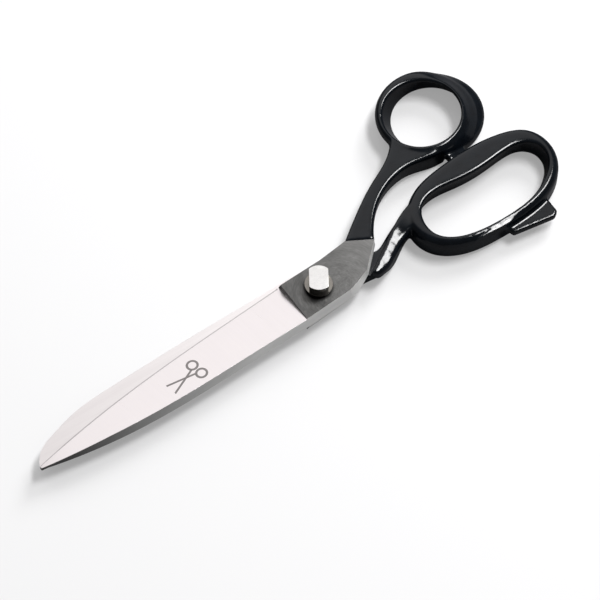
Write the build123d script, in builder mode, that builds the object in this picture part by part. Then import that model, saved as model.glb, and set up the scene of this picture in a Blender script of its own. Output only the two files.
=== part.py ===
from build123d import *
import math
import os

# Fabric shears, closed and lying flat. Millimetres.
# Frame: origin on the pivot axis where the lock nut meets the table, +Z up through the pivot,
# blades along -X, bows along +X, thumb bow on the +Y side.

# ---- driving dimensions: the pivot stack, from the table up ----
nut_height = 2.4
half_thickness = 4.2  # one blade half, inner face to outer face
running_gap = 0.1  # between the two inner faces
washer_gap = 0.05  # between the thumb half and the spring washer
washer_rise = 0.75  # free height of the dished washer
washer_sheet = 0.35
washer_radius = 5.6
flange_thickness = 1.0
head_height = 5.0

# ---- driving dimensions: pivot screw and nut ----
shoulder_radius = 3.5
thread_radius = 2.9
pivot_clearance = 0.05  # radial, shoulder in both bores
flange_radius = 5.95
head_radius = 5.85
spanner_width = 8.0  # across the two flats
spanner_turn = -36.0  # degrees, direction of the flats' normal from +X
head_chamfer = 0.5
nut_radius = 5.8
nut_width = 10.0  # across the nut's two flats
nut_chamfer = 0.4

# ---- driving dimensions: blades ----
shoulder_x = -13.4  # where the grind ends and the full-thickness ricasso begins
shoulder_bow = 0.6  # how far the shoulder line curves
shoulder_skew = 1.0  # the shoulder line ends this much nearer the tip on its lower side
blade_length = 125.6  # shoulder to tip
tip_rise = 1.9  # the tips lie this far to the thumb side of the pivot
tip_width = 1.1
draft_angle = 20.0  # forging draft on the sides, from the inner face outwards
cutting_land = 0.4  # thickness left at the cutting edge
tip_thickness = 1.3
spine_step = 0.4  # the grind starts this far below the ricasso face at the spine
mid_thickness = 3.6  # spine, three quarters of the way to the tip
ricasso_half_width = 11.2
tang_length = 13.0
tang_root = 5.0  # how far back the tang reaches into the plate
thumb_tang_turn = 42.0  # degrees from +X, the way each tang points
finger_tang_turn = 8.0
tang_width = 5.0
tang_thickness = 2.0

# ---- driving dimensions: bows ----
bow_height = 11.6
thumb_top_round = 3.4
thumb_bottom_round = 2.0
finger_top_round = 3.0
finger_bottom_round = 2.4
rim_round = 1.0
shank_round = 1.1
thumb_centre_x = 89.5  # centre of the thumb hole at mid height
bow_gap = 3.4  # closed, between the thumb ring and the finger bow
thumb_hole_x = 17.1  # half sizes of the thumb hole
thumb_hole_y = 16.4
thumb_wall = 5.2
thumb_bulge = 0.7  # extra half length of the ring along X
thumb_heel = 3.2  # extra wall on the far side from the pivot
thumb_lean = -0.55  # the thumb hole slants this far along X for each millimetre up
thumb_outer_lean = -0.66  # slant of the outside of the ring
finger_start_x = 48.0
finger_length = 73.6  # outside length of the finger bow
finger_width = 41.2  # outside width of the finger bow
finger_axis_y = -4.5
front_wall = 5.8  # walls of the finger bow, the front one towards the pivot
back_wall = 4.8
palm_wall = 8.0  # on the side of the thumb bow, where the palm rests
lower_wall = 5.4
finger_hole_lean = -0.22  # the finger hole slants this far along Y for each millimetre up
stop_gap = 0.3  # closed, between the stop boss and the finger bow
stop_length = 9.0
stop_depth = 5.0
stop_height = 5.0
ramp_start_x = 38.0  # under the thumb shank the underside starts to fall here
thumb_ramp_end_x = 76.0
spur_base = 4.0
spur_top = 7.4
spur_heel_reach = 2.5  # how far the spur stands out from the finger bow, at its two ends
spur_toe_reach = 6.5
stop_x = 88.0
overcut = 3.0  # how far a grind runs past the edge it cuts
clear = 60.0  # how far a cutting block stands out past what it cuts

# ---- heights worked out from the stack ----
finger_outer_z = nut_height
finger_inner_z = finger_outer_z + half_thickness
thumb_inner_z = finger_inner_z + running_gap
thumb_outer_z = thumb_inner_z + half_thickness
washer_z = thumb_outer_z + washer_gap
flange_z = washer_z + washer_rise
head_z = flange_z + flange_thickness
head_top_z = head_z + head_height
bow_middle_z = bow_height / 2
shank_top_z = thumb_outer_z

# ---- places worked out from the bows ----
finger_upper_y = finger_axis_y + finger_width / 2
finger_lower_y = finger_axis_y - finger_width / 2
finger_hole_start_x = finger_start_x + front_wall
finger_hole_length = finger_length - front_wall - back_wall
finger_hole_width = finger_width - palm_wall - lower_wall
finger_hole_axis_y = finger_axis_y + (lower_wall - palm_wall) / 2
thumb_centre = (thumb_centre_x, finger_upper_y + bow_gap + thumb_wall + thumb_hole_y)
stop_face_y = finger_upper_y + stop_gap

# ---- places worked out from the pivot and the blades ----
bore_radius = shoulder_radius + pivot_clearance
draft_inset = half_thickness * math.tan(math.radians(draft_angle))
tip_x = shoulder_x - blade_length

# ---- steel-to-lacquer lines: a point on each and its direction ----
thumb_line_point = (26.4, 7.6)
thumb_lacquer_turn = -32.6  # degrees from +X, the bow lies on its left-hand side
finger_line_point = (19.0, -3.9)
finger_lacquer_turn = -136.2


def along_blade(share, y):
    """A point on a blade outline: share runs from 0 at the shoulder to 1 at the tip."""
    return (shoulder_x - blade_length * share, y)


def thumb_plate_outline(inset):
    """Steel plate of the thumb half, its drafted sides drawn in by inset from the inner face."""
    with BuildLine() as outline:
        spine = Spline(
            (tip_x, tip_rise - tip_width / 2),
            along_blade(0.86, -3.3 + 0.7 * inset),
            along_blade(0.67, -7.4 + inset),
            along_blade(0.35, -9.9 + inset),
            along_blade(0.0, -ricasso_half_width + inset),
        )
        heel = Polyline(
            spine @ 1,
            (9.5 - 0.1 * inset, -11.0 + inset),
            (14.2 - 0.3 * inset, -9.9 + inset),
            (21.1 - 0.2 * inset, -6.4 + 0.3 * inset),
            (32.3 - 0.3 * inset, 3.2 + 0.2 * inset),
            (36.0 - inset, 12.0),
        )
        back = Polyline(
            heel @ 1,
            (26.0, 15.5 - inset),
            (21.0 + 0.3 * inset, 12.0 - inset),
            (8.0, 11.1 - inset),
            along_blade(0.0, 11.4 - inset),
        )
        edge = Spline(
            along_blade(0.0, 10.7 - 0.7 * inset),
            along_blade(0.28, 10.1 - 0.2 * inset),
            along_blade(0.59, 8.6 - 0.2 * inset),
            along_blade(0.82, 5.9 - 0.2 * inset),
            (tip_x, tip_rise + tip_width / 2),
        )
        Line(back @ 1, edge @ 0)
        Line(edge @ 1, spine @ 0)
    return outline.line


def finger_plate_outline(inset):
    """Steel plate of the finger half with its broad nose, drawn in by inset from the inner face."""
    with BuildLine() as outline:
        spine = Spline(
            (tip_x, tip_rise + tip_width / 2),
            along_blade(0.955, 9.2 - 0.7 * inset),
            along_blade(0.89, 12.2 - inset),
            along_blade(0.80, 14.8 - inset),
            along_blade(0.66, 15.5 - inset),
            along_blade(0.30, 14.3 - inset),
            along_blade(0.0, 12.7 - inset),
        )
        back = Polyline(
            spine @ 1,
            (13.5 - 0.3 * inset, 10.9 - inset),
            (30.0 - 0.5 * inset, 2.0 - 0.9 * inset),
            (34.0, -6.0),
            (22.0, -9.2 + inset),
            (15.1, -8.9 + inset),
            (9.5, -10.6 + inset),
            along_blade(0.0, -ricasso_half_width + inset),
        )
        edge = Spline(
            along_blade(0.0, -9.2 + 0.7 * inset),
            along_blade(0.35, -7.7 + 0.2 * inset),
            along_blade(0.67, -5.1 + 0.2 * inset),
            along_blade(0.86, -1.6 + 0.2 * inset),
            (tip_x, tip_rise - tip_width / 2),
        )
        Line(back @ 1, edge @ 0)
        Line(edge @ 1, spine @ 0)
    return outline.line


def plate(outline, inner_z, outer_z):
    """Full-thickness steel plate between its wide inner face and its narrower outer face."""
    with BuildPart() as slab:
        for height, inset in ((inner_z, 0.0), (outer_z, draft_inset)):
            with BuildSketch(Plane.XY.offset(height)):
                with BuildLine():
                    add(outline(inset))
                make_face()
        loft(ruled=True)
    return slab.part


def grind_section(share, spine_y, edge_y, spine_height, side):
    """Wedge of air over the blade at one station; side is +1 above the thumb blade, -1 below."""
    inner_z = thumb_inner_z if side > 0 else finger_inner_z
    out_y = math.copysign(overcut, edge_y - spine_y)
    air_z = inner_z + side * 3 * half_thickness
    land_z = inner_z + side * cutting_land
    spine_z = inner_z + side * spine_height
    slope = (spine_z - land_z) / (spine_y - edge_y)
    station = Plane((shoulder_x - blade_length * share, 0, 0), x_dir=(0, 1, 0), z_dir=(1, 0, 0))
    with BuildSketch(station) as air:
        with BuildLine():
            Polyline(
                (spine_y - out_y, spine_z - out_y * slope),
                (edge_y, land_z),
                (edge_y + 10 * out_y, land_z),
                (edge_y + 10 * out_y, air_z),
                (spine_y - out_y, air_z),
                close=True,
            )
        make_face()
    return air.sketch


def grind(stations, side):
    """The whole wedge grind of one blade, ended by the curved shoulder."""
    with BuildPart() as air:
        loft([grind_section(*station, side) for station in stations], ruled=True)
        with BuildSketch(Plane.XY.offset(-half_thickness)):
            with BuildLine():
                shoulder = ThreePointArc(
                    (shoulder_x + shoulder_skew, 2 * ricasso_half_width),
                    (shoulder_x + shoulder_bow, 0),
                    (shoulder_x - shoulder_skew, -2 * ricasso_half_width),
                )
                Polyline(shoulder @ 1, (clear, -clear), (clear, clear), shoulder @ 0)
            make_face()
        extrude(amount=8 * half_thickness, mode=Mode.SUBTRACT)
    return air.part


def lacquer_side(point, turn):
    """Everything on the bow side of a steel-to-lacquer line, as one tall block."""
    line_plane = Plane((point[0], point[1], 0)).rotated((0, 0, turn))
    with BuildPart() as block:
        with BuildSketch(line_plane):
            Rectangle(4 * clear, 4 * clear, align=(Align.CENTER, Align.MIN))
        extrude(amount=3 * bow_height)
    return block.part


def tang(point, direction, middle_z):
    """Flat tang that runs from the steel plate into the bow, along the middle of the shank."""
    tang_plane = Plane((point[0], point[1], middle_z)).rotated((0, 0, direction))
    with BuildPart() as bar:
        with BuildSketch(tang_plane):
            with Locations((-tang_root, 0)):
                Rectangle(tang_root + tang_length, tang_width, align=(Align.MIN, Align.CENTER))
        extrude(amount=tang_thickness / 2, both=True)
    return bar.part


def thumb_ring_sketch(z):
    """Outside of the thumb ring at height z."""
    lean = thumb_outer_lean * (z - bow_middle_z)
    centre = (thumb_centre[0] + lean + thumb_heel / 2, thumb_centre[1])
    with BuildSketch(Plane.XY.offset(z)) as ring:
        with Locations(centre):
            Ellipse(thumb_hole_x + thumb_wall + thumb_bulge, thumb_hole_y + thumb_wall)
    return ring.sketch


def thumb_hole():
    """Slanted tunnel for the thumb."""
    with BuildPart() as tunnel:
        for z in (-bow_height, 2 * bow_height):
            lean = thumb_lean * (z - bow_middle_z)
            with BuildSketch(Plane.XY.offset(z)):
                with Locations((thumb_centre[0] + lean, thumb_centre[1])):
                    Ellipse(thumb_hole_x, thumb_hole_y)
        loft(ruled=True)
    return tunnel.part


def loop_points(shares, start_x, length, middle_y, width):
    """Scale an outline given in shares of its length and half width to millimetres."""
    return [(start_x + length * along, middle_y + width / 2 * across) for along, across in shares]


def finger_outside():
    """Outside line of the finger bow, seen from above."""
    shares = (
        (0.00, -0.10),
        (0.06, -0.51),
        (0.19, -0.80),
        (0.39, -0.94),
        (0.60, -0.965),
        (0.80, -0.83),
        (0.945, -0.46),
        (1.00, 0.09),
        (0.955, 0.59),
        (0.80, 0.89),
        (0.60, 1.00),
        (0.39, 0.99),
        (0.18, 0.86),
        (0.04, 0.50),
    )
    points = loop_points(shares, finger_start_x, finger_length, finger_axis_y, finger_width)
    return Spline(*points, periodic=True)


def finger_inside(shift):
    """Line of the finger hole at one height, moved sideways by shift."""
    shares = (
        (0.00, 0.09),
        (0.03, -0.35),
        (0.12, -0.68),
        (0.27, -0.90),
        (0.49, -1.00),
        (0.71, -0.93),
        (0.88, -0.60),
        (0.985, -0.12),
        (0.995, 0.34),
        (0.93, 0.71),
        (0.80, 0.83),
        (0.61, 0.80),
        (0.39, 0.88),
        (0.21, 0.99),
        (0.08, 0.83),
    )
    points = loop_points(
        shares, finger_hole_start_x, finger_hole_length, finger_hole_axis_y + shift, finger_hole_width
    )
    return Spline(*points, periodic=True)


def finger_hole():
    """Slanted tunnel for the fingers."""
    with BuildPart() as tunnel:
        for z in (-bow_height, 2 * bow_height):
            with BuildSketch(Plane.XY.offset(z)):
                with BuildLine():
                    finger_inside(finger_hole_lean * (z - bow_middle_z))
                make_face()
        loft(ruled=True)
    return tunnel.part


def flat_edges(part, z):
    """Edges that lie flat at height z."""
    return part.edges().filter_by_position(Axis.Z, z - 0.01, z + 0.01)


def underside_ramp(start_x, end_x, start_z):
    """Block of air under a shank: level with the inner face, then falling to the table."""
    with BuildPart() as air:
        with BuildSketch(Plane.XZ.offset(-clear)):
            with BuildLine():
                Polyline(
                    (-clear, -clear),
                    (-clear, start_z),
                    (start_x, start_z),
                    (end_x, 0),
                    (end_x, -clear),
                    close=True,
                )
            make_face()
        extrude(amount=2 * clear)
    return air.part


thumb_stations = [
    (-0.04, -11.2 + draft_inset, 10.8, half_thickness - spine_step),
    (0.40, -9.6 + draft_inset, 9.8, half_thickness - spine_step),
    (0.76, -5.6 + 1.3, 7.0, mid_thickness),
    (1.04, 1.2, 2.9, tip_thickness),
]
finger_stations = [
    (-0.04, 12.7 - draft_inset, -9.3, half_thickness - spine_step),
    (0.40, 14.6 - draft_inset, -7.4, half_thickness - spine_step),
    (0.76, 15.2 - 1.3, -3.8, mid_thickness),
    (1.04, 3.4, 1.7, tip_thickness),
]

thumb_plate = plate(thumb_plate_outline, thumb_inner_z, thumb_outer_z)
thumb_grind = grind(thumb_stations, 1)
thumb_black = lacquer_side(thumb_line_point, thumb_lacquer_turn)
thumb_tang = tang(thumb_line_point, thumb_tang_turn, thumb_inner_z + half_thickness / 2)
thumb_tunnel = thumb_hole()
thumb_ramp = underside_ramp(ramp_start_x, thumb_ramp_end_x, thumb_inner_z)
ring_sections = [thumb_ring_sketch(z) for z in (0, bow_height)]
finger_plate = plate(finger_plate_outline, finger_inner_z, finger_outer_z)
finger_grind = grind(finger_stations, -1)
finger_black = lacquer_side(finger_line_point, finger_lacquer_turn)
finger_tang = tang(finger_line_point, finger_tang_turn, finger_outer_z + half_thickness / 2)
finger_tunnel = finger_hole()

with BuildPart() as thumb_blade:
    add(thumb_plate)
    add(thumb_grind, mode=Mode.SUBTRACT)
    add(thumb_black, mode=Mode.SUBTRACT)
    add(thumb_tang)
    with Locations((0, 0, thumb_inner_z)):
        Cylinder(bore_radius, half_thickness * 3, mode=Mode.SUBTRACT)
thumb_blade.part.label = "thumb_blade"

with BuildPart() as finger_blade:
    add(finger_plate)
    add(finger_grind, mode=Mode.SUBTRACT)
    add(finger_black, mode=Mode.SUBTRACT)
    add(finger_tang)
    with Locations((0, 0, finger_inner_z)):
        Cylinder(bore_radius, half_thickness * 3, mode=Mode.SUBTRACT)
finger_blade.part.label = "finger_blade"

with BuildPart() as thumb_shank:
    with BuildSketch():
        with BuildLine():
            left = Spline(
                (15.0, 6.0), (27.0, 14.2), (37.2, 20.6), (47.6, 26.3), (58.5, 31.3), (71.0, 44.0)
            )
            right = Spline(
                (84.0, 21.0),
                (75.0, 22.2),
                (66.0, 23.8),
                (56.3, 22.6),
                (47.3, 18.8),
                (38.0, 11.3),
                (29.0, -3.0),
            )
            Line(left @ 1, right @ 0)
            Line(right @ 1, left @ 0)
        make_face()
    extrude(amount=thumb_outer_z)
    fillet(flat_edges(thumb_shank.part, thumb_outer_z).filter_by(GeomType.BSPLINE), shank_round)
    add(thumb_ramp, mode=Mode.SUBTRACT)
    add(thumb_black, mode=Mode.INTERSECT)

with BuildPart() as thumb_ring:
    loft(ring_sections, ruled=True)
    fillet(flat_edges(thumb_ring.part, bow_height), thumb_top_round)
    fillet(flat_edges(thumb_ring.part, 0), thumb_bottom_round)
    add(thumb_tunnel, mode=Mode.SUBTRACT)
    fillet(flat_edges(thumb_ring.part, bow_height).sort_by(SortBy.LENGTH)[0], rim_round)
    fillet(flat_edges(thumb_ring.part, 0).sort_by(SortBy.LENGTH)[0], rim_round)

with BuildPart() as thumb_bow:
    add(thumb_shank.part)
    with BuildSketch(Plane.XY.offset(bow_middle_z - stop_height / 2)):
        with Locations((stop_x, stop_face_y)):
            Rectangle(stop_length, stop_depth, align=(Align.CENTER, Align.MIN))
    extrude(amount=stop_height)
    add(thumb_tunnel, mode=Mode.SUBTRACT)
    add(thumb_ring.part)
    add(thumb_tang, mode=Mode.SUBTRACT)
thumb_bow.part.label = "thumb_bow"

with BuildPart() as finger_shank:
    with BuildSketch(Plane.XY.offset(finger_outer_z)):
        with BuildLine():
            base_upper = Spline(
                (10.0, 14.0), (24.0, 6.0), (31.5, 1.2), (37.4, 3.3), (44.0, 6.2), (54.0, 9.4)
            )
            base_lower = Spline(
                (58.0, -3.0),
                (50.5, -0.9),
                (45.6, -1.6),
                (38.5, -5.2),
                (31.0, -8.5),
                (22.0, -7.7),
                (14.0, -7.2),
            )
            Line(base_lower @ 1, base_upper @ 0)
            Line(base_upper @ 1, base_lower @ 0)
        make_face()
    extrude(amount=half_thickness)
    add(finger_black, mode=Mode.INTERSECT)

with BuildPart() as raised_shank:
    with BuildSketch(Plane.XY.offset(finger_inner_z - 1.0)):
        with BuildLine():
            gap_side = Spline((21.5, -7.7), (28.2, -4.3), (38.4, 1.9), (55.0, 9.2))
            open_side = Spline((60.0, -3.0), (50.5, -1.0), (38.5, -5.0), (30.0, -9.4), (23.6, -10.3))
            Line(gap_side @ 1, open_side @ 0)
            Line(open_side @ 1, gap_side @ 0)
        make_face()
    extrude(amount=shank_top_z - finger_inner_z + 1.0)
    fillet(flat_edges(raised_shank.part, shank_top_z).filter_by(GeomType.BSPLINE), shank_round)

with BuildPart() as finger_loop:
    with BuildSketch():
        with BuildLine():
            finger_outside()
        make_face()
    extrude(amount=bow_height)
    fillet(flat_edges(finger_loop.part, bow_height), finger_top_round)
    fillet(flat_edges(finger_loop.part, 0), finger_bottom_round)
    add(finger_tunnel, mode=Mode.SUBTRACT)
    fillet(flat_edges(finger_loop.part, bow_height).sort_by(SortBy.LENGTH)[0], rim_round)
    fillet(flat_edges(finger_loop.part, 0).sort_by(SortBy.LENGTH)[0], rim_round)

with BuildPart() as finger_bow:
    add(finger_shank.part)
    add(raised_shank.part)
    with BuildSketch(Plane.XY.offset(spur_base)):
        with BuildLine():
            Polyline(
                (80.0, finger_lower_y + lower_wall),
                (82.2, finger_lower_y - spur_heel_reach),
                (101.2, finger_lower_y - spur_toe_reach),
                (103.8, finger_lower_y - spur_toe_reach + 1.6),
                (104.3, finger_lower_y + lower_wall),
                close=True,
            )
        make_face()
    extrude(amount=spur_top - spur_base)
    add(finger_tunnel, mode=Mode.SUBTRACT)
    add(finger_loop.part)
    add(finger_tang, mode=Mode.SUBTRACT)
finger_bow.part.label = "finger_bow"

with BuildPart() as pivot_screw:
    Cylinder(thread_radius, nut_height, align=(Align.CENTER, Align.CENTER, Align.MIN))
    with Locations((0, 0, nut_height)):
        Cylinder(shoulder_radius, flange_z - nut_height, align=(Align.CENTER, Align.CENTER, Align.MIN))
    with Locations((0, 0, flange_z)):
        Cylinder(flange_radius, flange_thickness, align=(Align.CENTER, Align.CENTER, Align.MIN))
    with BuildSketch(Plane.XY.offset(head_z).rotated((0, 0, spanner_turn))):
        Circle(head_radius)
        Rectangle(spanner_width, 4 * head_radius, mode=Mode.INTERSECT)
    extrude(amount=head_height)
    chamfer(flat_edges(pivot_screw.part, head_top_z), head_chamfer)
pivot_screw.part.label = "pivot_screw"

with BuildPart() as spring_washer:
    with BuildSketch(Plane.XZ):
        with BuildLine():
            Polyline(
                (bore_radius, flange_z),
                (bore_radius, flange_z - washer_sheet),
                (washer_radius, washer_z),
                (washer_radius, washer_z + washer_sheet),
                close=True,
            )
        make_face()
    revolve(axis=Axis.Z)
spring_washer.part.label = "spring_washer"

with BuildPart() as lock_nut:
    with BuildSketch():
        Circle(nut_radius)
        Rectangle(nut_width, 4 * nut_radius, mode=Mode.INTERSECT)
        Circle(thread_radius, mode=Mode.SUBTRACT)
    extrude(amount=nut_height)
    chamfer(flat_edges(lock_nut.part, 0).sort_by(SortBy.DISTANCE)[1:], nut_chamfer)
lock_nut.part.label = "lock_nut"

os.makedirs("parts", exist_ok=True)
for piece in (thumb_blade, thumb_bow, finger_blade, finger_bow, pivot_screw, spring_washer, lock_nut):
    export_step(piece.part, f"parts/{piece.part.label}.step")
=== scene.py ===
"""Looks for a pair of forged fabric shears: ground steel blades and black lacquered bows.

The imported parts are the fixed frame. Each blade half, bow and the pivot stack gets a finished
mesh in its place, and every finish is made of nodes that read Object coordinates.
"""

import logging
import math
from dataclasses import dataclass, field, replace
from enum import Enum

import bmesh
import bpy
from mathutils import Matrix, Vector, noise


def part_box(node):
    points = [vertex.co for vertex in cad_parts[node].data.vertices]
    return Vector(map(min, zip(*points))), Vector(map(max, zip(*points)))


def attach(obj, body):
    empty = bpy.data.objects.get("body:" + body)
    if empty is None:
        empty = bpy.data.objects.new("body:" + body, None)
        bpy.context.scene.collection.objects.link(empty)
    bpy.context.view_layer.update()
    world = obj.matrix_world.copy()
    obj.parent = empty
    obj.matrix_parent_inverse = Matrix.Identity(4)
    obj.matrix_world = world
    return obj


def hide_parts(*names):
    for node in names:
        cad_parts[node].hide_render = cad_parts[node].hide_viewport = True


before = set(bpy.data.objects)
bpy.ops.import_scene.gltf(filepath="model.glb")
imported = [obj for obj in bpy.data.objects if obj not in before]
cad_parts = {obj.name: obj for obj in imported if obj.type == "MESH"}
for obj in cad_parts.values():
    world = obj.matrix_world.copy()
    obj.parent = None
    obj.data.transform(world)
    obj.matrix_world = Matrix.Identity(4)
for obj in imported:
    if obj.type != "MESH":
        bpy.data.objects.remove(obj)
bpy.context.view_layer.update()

MM = 0.001
MERGE = 0.002 * MM  # vertices closer than this are one
LEVEL = 0.001 * MM  # heights closer than this are the same
STREAK_GAIN = 2.0  # two noises multiplied are darker than one
Colour = tuple[float, float, float]
Span = tuple[float, float]  # a low and a high number, or X and Y
log = logging.getLogger("shears")


class Slot(Enum):
    """Material slots of the record."""

    STEEL = "ground_steel"
    LACQUER = "black_lacquer"
    PLATED = "plated_steel"
    SPRING = "spring_steel"


class Body(Enum):
    """The two halves that turn against each other."""

    FINGER = "finger_half"
    THUMB = "thumb_half"


class BladeFace(Enum):
    """The kinds of face on a blade, in the order of its materials."""

    GRIND = 0
    RICASSO = 1
    SIDE = 2
    INNER = 3


# ---------------------------------------------------------------- node helpers


class NodeSheet:
    """A short way to write down the nodes of one tree."""

    def __init__(self, tree: bpy.types.NodeTree) -> None:
        """Start on a node tree.

        Args:
            tree: the tree that the nodes are added to.
        """
        self.tree = tree

    def add(self, kind: str, **settings: object) -> bpy.types.Node:
        """Add a node.

        Args:
            kind: Blender's name of the node type.
            settings: properties of the node, set by name.

        Returns:
            The new node.
        """
        node = self.tree.nodes.new(kind)
        for name, value in settings.items():
            setattr(node, name, value)
        return node

    def fill(self, socket: bpy.types.NodeSocket, value: object) -> None:
        """Set or link one input.

        Args:
            socket: the input.
            value: a number, colour or vector to set, or an output socket to link.
        """
        if isinstance(value, bpy.types.NodeSocket):
            self.tree.links.new(value, socket)
        else:
            socket.default_value = value

    def feed(self, node: bpy.types.Node, **values: object) -> bpy.types.Node:
        """Set or link a node's inputs; an underscore in a name stands for a space.

        Args:
            node: the node whose inputs are filled.
            values: what each input gets.

        Returns:
            The same node.
        """
        for name, value in values.items():
            self.fill(node.inputs[name.replace("_", " ")], value)
        return node

    def group(self, tree: bpy.types.NodeTree, **values: object) -> bpy.types.Node:
        """Place a node group and fill its inputs.

        Args:
            tree: the group.
            values: what each input gets.

        Returns:
            The group's node.
        """
        return self.feed(self.add("ShaderNodeGroup", node_tree=tree), **values)

    def split(self, vector: bpy.types.NodeSocket) -> bpy.types.Node:
        """Take a vector apart into its X, Y and Z outputs."""
        return self.feed(self.add("ShaderNodeSeparateXYZ"), Vector=vector)

    def math(self, operation: str, *values: object) -> bpy.types.NodeSocket:
        """Add a Math node and return its value.

        Args:
            operation: the operation's name.
            values: numbers or sockets, in order.

        Returns:
            The result's socket.
        """
        node = self.add("ShaderNodeMath", operation=operation)
        for slot, value in enumerate(values):
            self.fill(node.inputs[slot], value)
        return node.outputs["Value"]

    def length(self, side_x: bpy.types.NodeSocket, side_y: bpy.types.NodeSocket) -> bpy.types.NodeSocket:
        """Work out how long a flat vector is.

        Args:
            side_x: its X.
            side_y: its Y.

        Returns:
            The length's socket.
        """
        squares = [self.math("MULTIPLY", side, side) for side in (side_x, side_y)]
        return self.math("SQRT", self.math("ADD", *squares))

    def near(self, value: bpy.types.NodeSocket, middle: object, reach: float) -> bpy.types.NodeSocket:
        """Mask the places where a value is close to another.

        Args:
            value: the value looked at.
            middle: what it is compared with.
            reach: how far apart they may be.

        Returns:
            1 where they are close and 0 elsewhere.
        """
        apart = self.math("ABSOLUTE", self.math("SUBTRACT", value, middle))
        return self.math("LESS_THAN", apart, reach)

    def noise(self, vector: bpy.types.NodeSocket, scale: float, detail: float) -> bpy.types.NodeSocket:
        """Add a noise texture.

        Args:
            vector: coordinates in metres.
            scale: waves per metre.
            detail: octaves.

        Returns:
            The noise value, about 0 to 1.
        """
        node = self.feed(self.add("ShaderNodeTexNoise"), Vector=vector, Scale=scale, Detail=detail)
        return node.outputs["Fac"]

    def spread(self, value: bpy.types.NodeSocket, low: float, high: float, start: float = 0.0,
               end: float = 1.0, kind: str = "LINEAR") -> bpy.types.NodeSocket:
        """Map one range onto another, and hold the value past its ends.

        Args:
            value: the value to map.
            low: result at the start of its range.
            high: result at the end.
            start: where its range starts.
            end: where its range ends.
            kind: how it rises between them, LINEAR or SMOOTHSTEP.

        Returns:
            The mapped value.
        """
        node = self.add("ShaderNodeMapRange", interpolation_type=kind)
        self.feed(node, Value=value, From_Min=start, From_Max=end, To_Min=low, To_Max=high)
        return node.outputs["Result"]

    def mix(self, mask: bpy.types.NodeSocket, low: object, high: object) -> bpy.types.NodeSocket:
        """Mix two colours by a mask.

        Args:
            mask: 0 to 1.
            low: colour at 0, fixed or a socket.
            high: colour at 1, fixed or a socket.

        Returns:
            The mixed colour.
        """
        node = self.add("ShaderNodeMix", data_type="RGBA")
        self.fill(node.inputs["Factor"], mask)
        for slot, colour in ((6, low), (7, high)):  # the node's two colour inputs
            self.fill(node.inputs[slot], (*colour, 1.0) if isinstance(colour, tuple) else colour)
        return node.outputs[2]


def new_group(name: str, inputs: tuple[str, ...],
              outputs: tuple[str, ...]) -> tuple[NodeSheet, bpy.types.Node, bpy.types.Node]:
    """Make an empty shader group with a Vector input, named numbers in and named numbers out.

    Args:
        name: the group's name.
        inputs: names of its number inputs.
        outputs: names of its number outputs.

    Returns:
        The sheet of the group's tree, its input node and its output node.
    """
    tree = bpy.data.node_groups.new(name, "ShaderNodeTree")
    tree.interface.new_socket("Vector", in_out="INPUT", socket_type="NodeSocketVector")
    for label in inputs:
        tree.interface.new_socket(label, in_out="INPUT", socket_type="NodeSocketFloat")
    for label in outputs:
        tree.interface.new_socket(label, in_out="OUTPUT", socket_type="NodeSocketFloat")
    sheet = NodeSheet(tree)
    return sheet, sheet.add("NodeGroupInput"), sheet.add("NodeGroupOutput")


# ---------------------------------------------------------------- shared effects


def straight_grind_group() -> bpy.types.NodeTree:
    """Grinding lines that run along local Y, with a few deeper scratches.

    Returns:
        The node group: Fine and Along, both per metre, in, Height and Streaks out.
    """
    sheet, inside, outside = new_group("straight_grind", ("Fine", "Along"), ("Height", "Streaks"))
    parts = sheet.split(inside.outputs["Vector"])
    across = sheet.math("MULTIPLY", parts.outputs["X"], inside.outputs["Fine"])
    along = sheet.math("MULTIPLY", parts.outputs["Y"], inside.outputs["Along"])
    upward = sheet.math("MULTIPLY", parts.outputs["Z"], inside.outputs["Along"])
    stretched = sheet.feed(sheet.add("ShaderNodeCombineXYZ"), X=across, Y=along, Z=upward)
    lines = sheet.noise(stretched.outputs["Vector"], scale=1.0, detail=5.0)
    broad = sheet.noise(stretched.outputs["Vector"], scale=0.18, detail=2.0)
    streaks = sheet.math("MULTIPLY", lines, broad)
    sheet.feed(outside, Height=lines, Streaks=sheet.math("MULTIPLY", streaks, STREAK_GAIN))
    return sheet.tree


def arc_grind_group() -> bpy.types.NodeTree:
    """Curved marks of a face grinder, drawn about a centre beside the part.

    Returns:
        The node group: Centre X, Centre Y and Fine in, Height and Streaks out.
    """
    changes = 7.0  # along an arc, per radian
    sheet, inside, outside = new_group("arc_grind", ("Centre X", "Centre Y", "Fine"), ("Height", "Streaks"))
    parts = sheet.split(inside.outputs["Vector"])
    side_x = sheet.math("SUBTRACT", parts.outputs["X"], inside.outputs["Centre X"])
    side_y = sheet.math("SUBTRACT", parts.outputs["Y"], inside.outputs["Centre Y"])
    outward = sheet.math("MULTIPLY", sheet.length(side_x, side_y), inside.outputs["Fine"])
    around = sheet.math("MULTIPLY", sheet.math("ARCTAN2", side_y, side_x), changes)
    polar = sheet.feed(sheet.add("ShaderNodeCombineXYZ"), X=outward, Y=around)
    lines = sheet.noise(polar.outputs["Vector"], scale=1.0, detail=4.0)
    broad = sheet.noise(polar.outputs["Vector"], scale=0.22, detail=2.0)
    streaks = sheet.math("MULTIPLY", lines, broad)
    sheet.feed(outside, Height=lines, Streaks=sheet.math("MULTIPLY", streaks, STREAK_GAIN))
    return sheet.tree


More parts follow.
